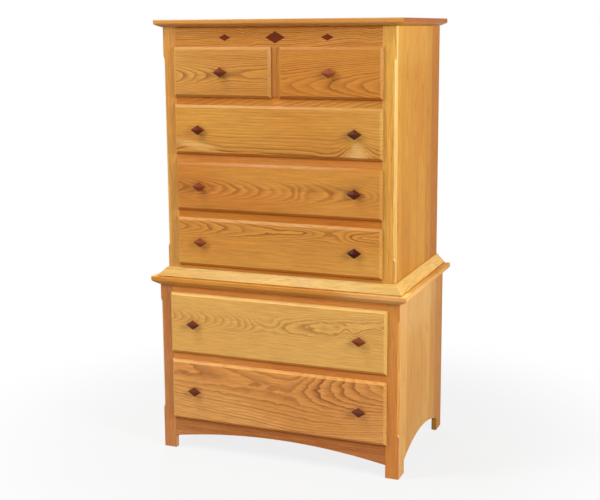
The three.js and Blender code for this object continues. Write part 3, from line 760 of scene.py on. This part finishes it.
class ChestFinish(bpy.types.PropertyGroup):
    """Colours of the woods"""

    honey: colour_choice("Honey", "Ground colour of the oak", (0.74, 0.345, 0.055))
    amber: colour_choice("Amber", "Warmer colour that the oak drifts to", (0.63, 0.225, 0.028))
    pale: colour_choice("Pale", "Colour of the palest wood, round knots", (0.82, 0.44, 0.12))
    grain: colour_choice("Grain", "Colour of the open grain lines", (0.28, 0.08, 0.009))
    knob_light: colour_choice("Knob", "Ground colour of the dark wood", (0.148, 0.029, 0.010))
    knob_warm: colour_choice("Knob Warm", "Redder colour of the dark wood", (0.19, 0.036, 0.011))
    knob_grain: colour_choice("Knob Grain", "Grain colour of the dark wood", (0.03, 0.008, 0.005))
    inner_light: colour_choice("Inner Wood", "Ground colour of the drawer and web wood", (0.72, 0.46, 0.20))
    inner_warm: colour_choice("Inner Warm", "Warmer colour of the inner wood", (0.68, 0.40, 0.15))
    inner_grain: colour_choice("Inner Grain", "Grain colour of the inner wood", (0.42, 0.24, 0.09))


class ChestEdges(bpy.types.PropertyGroup):
    """How far the edges are eased"""

    board: radius_choice("Boards", "Radius on the edges of the top and waist boards", 4 * MM, 8 * MM)
    front: radius_choice("Drawer Fronts", "Radius on the edges of the drawer fronts", 1.2 * MM, 2 * MM)
    frame: radius_choice("Frame", "Radius on the corners of the stiles, sides and moulding", 1 * MM, 3 * MM)
    knob: radius_choice("Knobs", "Radius on the edges of the knobs", 0.8 * MM, 1 * MM)


class ChestStage(bpy.types.PropertyGroup):
    """The studio"""

    right: power_choice("Right Lamp", "Power of the large lamp at the right", 218)
    left: power_choice("Left Lamp", "Power of the smaller lamp at the upper left", 90)
    top: power_choice("Top Lamp", "Power of the lamp overhead", 95)
    back: power_choice("Back Lamp", "Power of the lamp behind the chest", 120)
    sky: FloatProperty(
        name="Fill", description="Strength of the even light from all round", default=0.08, min=0, max=2,
    )
    floor: FloatProperty(
        name="Floor", description="Share of plain white in the floor that the camera sees", subtype="FACTOR",
        default=0.83, min=0, max=1,
    )


class CHEST_OT_stage(bpy.types.Operator):
    """The floor, the lamps, the even light all round and the camera"""

    bl_idname = "chest.stage"
    bl_label = "Stage"

    def execute(self, context):
        scene = context.scene
        stage = scene.chest_stage
        self.lay_floor(scene, stage.floor)
        for side, (place, aim, size) in LAMPS.items():
            self.add_lamp(scene, side + "_lamp", place, aim, size, getattr(stage, side))
        self.light_sky(scene, stage.sky)
        self.place_camera(scene)
        scene.view_settings.view_transform = "Standard"
        return {"FINISHED"}

    def seen(self, shader):
        """1 for the rays that show the backdrop: the camera's own, and those that gloss or glass sends on."""
        camera, glossy, through = (
            shader.add("ShaderNodeLightPath", output=name)
            for name in ("Is Camera Ray", "Is Glossy Ray", "Is Transmission Ray")
        )
        return camera + glossy + through

    def lay_floor(self, scene, plain):
        """The floor: matt where it takes the shadow, and white to the camera further off."""
        ground = bmesh.new()
        bmesh.ops.create_grid(ground, x_segments=1, y_segments=1, size=FLOOR_REACH)
        mesh = bpy.data.meshes.new("floor")
        ground.to_mesh(mesh)
        ground.free()
        floor = bpy.data.objects.new("floor", mesh)
        scene.collection.objects.link(floor)
        material = bpy.data.materials.new("pale_floor")
        material.use_nodes = True
        shader = Shader(material.node_tree)
        place = shader.add("ShaderNodeTexCoord", output="Object")
        away = shader.add("ShaderNodeVectorMath", {"operation": "LENGTH"}, {"Vector": place}, "Value")
        share = self.seen(shader) * away.ramp(*FLOOR_FADE).above(plain)
        matt = shader.add("ShaderNodeBsdfDiffuse", None, {"Color": FLOOR_GREY})
        white = shader.add("ShaderNodeEmission", None, {"Color": WHITE, "Strength": 1.0})
        mixed = shader.add("ShaderNodeMixShader", None, (share, matt, white))
        shader.add("ShaderNodeOutputMaterial", None, {"Surface": mixed})
        dress(floor, material)

    def add_lamp(self, scene, name, place, aim, size, power):
        data = bpy.data.lights.new(name, "AREA")
        data.shape = "RECTANGLE"
        data.size, data.size_y = size
        data.energy = power
        lamp = bpy.data.objects.new(name, data)
        lamp.location = place
        lamp.rotation_euler = (Vector(aim) - Vector(place)).to_track_quat("-Z", "Y").to_euler()
        scene.collection.objects.link(lamp)

    def light_sky(self, scene, strength):
        """The world: faint even light on the chest, and plain white to the camera."""
        world = bpy.data.worlds.new("studio")
        world.use_nodes = True
        scene.world = world
        shader = Shader(world.node_tree)
        fill = shader.add("ShaderNodeBackground", None, {"Color": WHITE, "Strength": strength})
        white = shader.add("ShaderNodeBackground", None, {"Color": WHITE, "Strength": 1.0})
        mixed = shader.add("ShaderNodeMixShader", None, (self.seen(shader), fill, white))
        shader.add("ShaderNodeOutputWorld", None, {"Surface": mixed})

    def place_camera(self, scene):
        data = bpy.data.cameras.new("camera")
        data.lens = CAMERA_LENS
        data.shift_y = CAMERA_SHIFT_UP
        camera = bpy.data.objects.new("camera", data)
        turn = Matrix.Rotation(math.radians(CAMERA_TURN["yaw"]), 4, "Z")
        tilt = Matrix.Rotation(math.radians(90 - CAMERA_TURN["down"]), 4, "X")
        roll = Matrix.Rotation(math.radians(CAMERA_TURN["roll"]), 4, "Z")
        camera.matrix_world = Matrix.Translation(CAMERA_PLACE) @ turn @ tilt @ roll
        scene.collection.objects.link(camera)
        scene.camera = camera


class CHEST_OT_boards(bpy.types.Operator):
    """The top board and the waist board, each glued up from five boards"""

    bl_idname = "chest.boards"
    bl_label = "Top and Waist Boards"

    def execute(self, context):
        scene = context.scene
        oak = {**wood_looks(scene.chest_finish)["oak"], "depth_share": 1.0, "gloss": 0.03}
        for name, painted_light_and_end_grain in TOP_TINTS.items():
            low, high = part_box(name)
            look = {**oak, **painted_light_and_end_grain, "margin_start": high.x - MARGIN}
            boards = [{**TOP_BOARDS[0], "patches": TOP_PAINTED_LIGHT_PATCHES[name]}, *TOP_BOARDS[1:]]
            piece = eased(name, scene.chest_edges.board, BOARD_SEGMENTS, clear_of_back(name))
            dress(piece, timber(name, TOP_AXES, high.z / MM, boards, look, TOP_SEAMS))
        return {"FINISHED"}


class CHEST_OT_mouldings(bpy.types.Operator):
    """The sloped moulding round the waist, in three lengths"""

    bl_idname = "chest.mouldings"
    bl_label = "Waist Moulding"

    def execute(self, context):
        scene = context.scene
        oak = wood_looks(scene.chest_finish)["oak"]
        look = {**oak, "depth_share": 1.0, "gloss": 0.25, "bevel": None, "end": (1.08, 1.18, 1.2)}
        for side, (axes, face, contrast) in MOULDINGS.items():
            name = "waist_moulding_" + side
            board = {**MOULDING_GRAIN, "contrast": contrast}
            dress(eased(name, scene.chest_edges.frame), timber(name, axes, face, [board], look))
        return {"FINISHED"}


class CHEST_OT_frames(bpy.types.Operator):
    """The stiles, rails and the divider of the front"""

    bl_idname = "chest.frames"
    bl_label = "Front Frames"

    def execute(self, context):
        scene = context.scene
        oak = wood_looks(scene.chest_finish)["oak"]
        # Glossier, and with a painted highlight on the chamfers and bevels.
        glossy_painted_highlight = {**oak, "gloss": 0.45, "bevel": (0.97, 1.15, 1.7)}
        dull = {**oak, "gloss": 0.03}
        for name, own in UPRIGHTS.items():
            board = {**UPRIGHT_GRAIN, **own}
            piece = eased(name, scene.chest_edges.frame)
            dress(piece, timber(name, STILE_AXES, FRAME_FACE, [board], glossy_painted_highlight))
        for name, own in RAILS.items():
            board = {**RAIL_GRAIN, **own}
            # A painted shadow line under the piece over the rail.
            if "under" in board:
                board["stain"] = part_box(board["under"])[0].z / MM
            dress(NODES[name], timber(name, FRONT_AXES, FRAME_FACE, [board], dull))
        return {"FINISHED"}


class CHEST_OT_sides(bpy.types.Operator):
    """The sides of both cases, glued up from upright boards"""

    bl_idname = "chest.sides"
    bl_label = "Case Sides"

    def execute(self, context):
        scene = context.scene
        look = {**wood_looks(scene.chest_finish)["oak"], "gloss": 0.02}
        for name in ("upper_side_left", "upper_side_right", "lower_side_left", "lower_side_right"):
            low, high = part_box(name)
            face = (high.x if "right" in name else low.x) / MM
            patches = [(high.z / MM - down, *rest) for down, *rest in SIDE_PATCHES]
            boards = [{**SIDE_BOARDS[0], "patches": patches}, *SIDE_BOARDS[1:]]
            piece = eased(name, scene.chest_edges.frame)
            dress(piece, timber(name, SIDE_AXES, face, boards, look, SIDE_SEAMS))
        return {"FINISHED"}


class CHEST_OT_insides(bpy.types.Operator):
    """The backs, the web frames and the drawer boxes, in plain pale wood"""

    bl_idname = "chest.insides"
    bl_label = "Backs and Insides"

    def execute(self, context):
        pale = wood_looks(context.scene.chest_finish)["pale"]
        for name, node in NODES.items():
            for word, (axes, face, board) in INSIDES.items():
                if word in name and name not in RAILS:
                    dress(node, timber(name, axes, face, [board], pale))
        return {"FINISHED"}


class CHEST_OT_fronts(bpy.types.Operator):
    """The lipped and bevelled drawer fronts"""

    bl_idname = "chest.fronts"
    bl_label = "Drawer Fronts"

    def execute(self, context):
        scene = context.scene
        # A painted shade on the bevels that look down.
        look = {**wood_looks(scene.chest_finish)["oak"], "lower_bevel": (0.96, 0.77, 0.62)}
        for drawer, board in FRONT_GRAIN.items():
            name = drawer + "_front"
            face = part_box(name)[0].y / MM
            piece = eased(name, scene.chest_edges.front)
            dress(piece, timber(name, FRONT_AXES, face, [board], look))
        return {"FINISHED"}


class CHEST_OT_knobs(bpy.types.Operator):
    """The dark knobs and the diamonds let into the frieze"""

    bl_idname = "chest.knobs"
    bl_label = "Knobs and Inlays"

    def execute(self, context):
        scene = context.scene
        dark = wood_looks(scene.chest_finish)["dark"]
        for name, node in NODES.items():
            if "knob" in name:
                piece = eased(name, scene.chest_edges.knob)
            elif "inlay" in name:
                piece = node
            else:
                continue
            board = {**KNOB_GRAIN, "turn": middle(name, "x")}
            dress(piece, timber(name, FRONT_AXES, KNOB_FACE, [board], dark))
        return {"FINISHED"}


class CHEST_PT_panel(bpy.types.Panel):
    """Lists the chest's colours, sizes and steps"""

    bl_idname = "CHEST_PT_panel"
    bl_label = "Chest on Chest"
    bl_space_type = "VIEW_3D"
    bl_region_type = "UI"
    bl_category = "Chest"

    def draw(self, context):
        scene = context.scene
        for group in (scene.chest_finish, scene.chest_edges, scene.chest_stage):
            box = self.layout.box()
            for name in group.__annotations__:
                box.prop(group, name)
        for step in STEPS:
            self.layout.operator(step.bl_idname)


GROUPS = {"chest_finish": ChestFinish, "chest_edges": ChestEdges, "chest_stage": ChestStage}
STEPS = (
    CHEST_OT_stage,
    CHEST_OT_boards,
    CHEST_OT_mouldings,
    CHEST_OT_frames,
    CHEST_OT_sides,
    CHEST_OT_insides,
    CHEST_OT_fronts,
    CHEST_OT_knobs,
)
CLASSES = (*GROUPS.values(), *STEPS, CHEST_PT_panel)


def register():
    for kind in CLASSES:
        bpy.utils.register_class(kind)
    for name, group in GROUPS.items():
        setattr(bpy.types.Scene, name, PointerProperty(type=group))


def unregister():
    for name in GROUPS:
        delattr(bpy.types.Scene, name)
    for kind in reversed(CLASSES):
        bpy.utils.unregister_class(kind)


def main():
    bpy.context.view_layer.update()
    register()
    for step in STEPS:
        area, name = step.bl_idname.split(".")
        getattr(getattr(bpy.ops, area), name)()


if __name__ == "__main__":
    main()
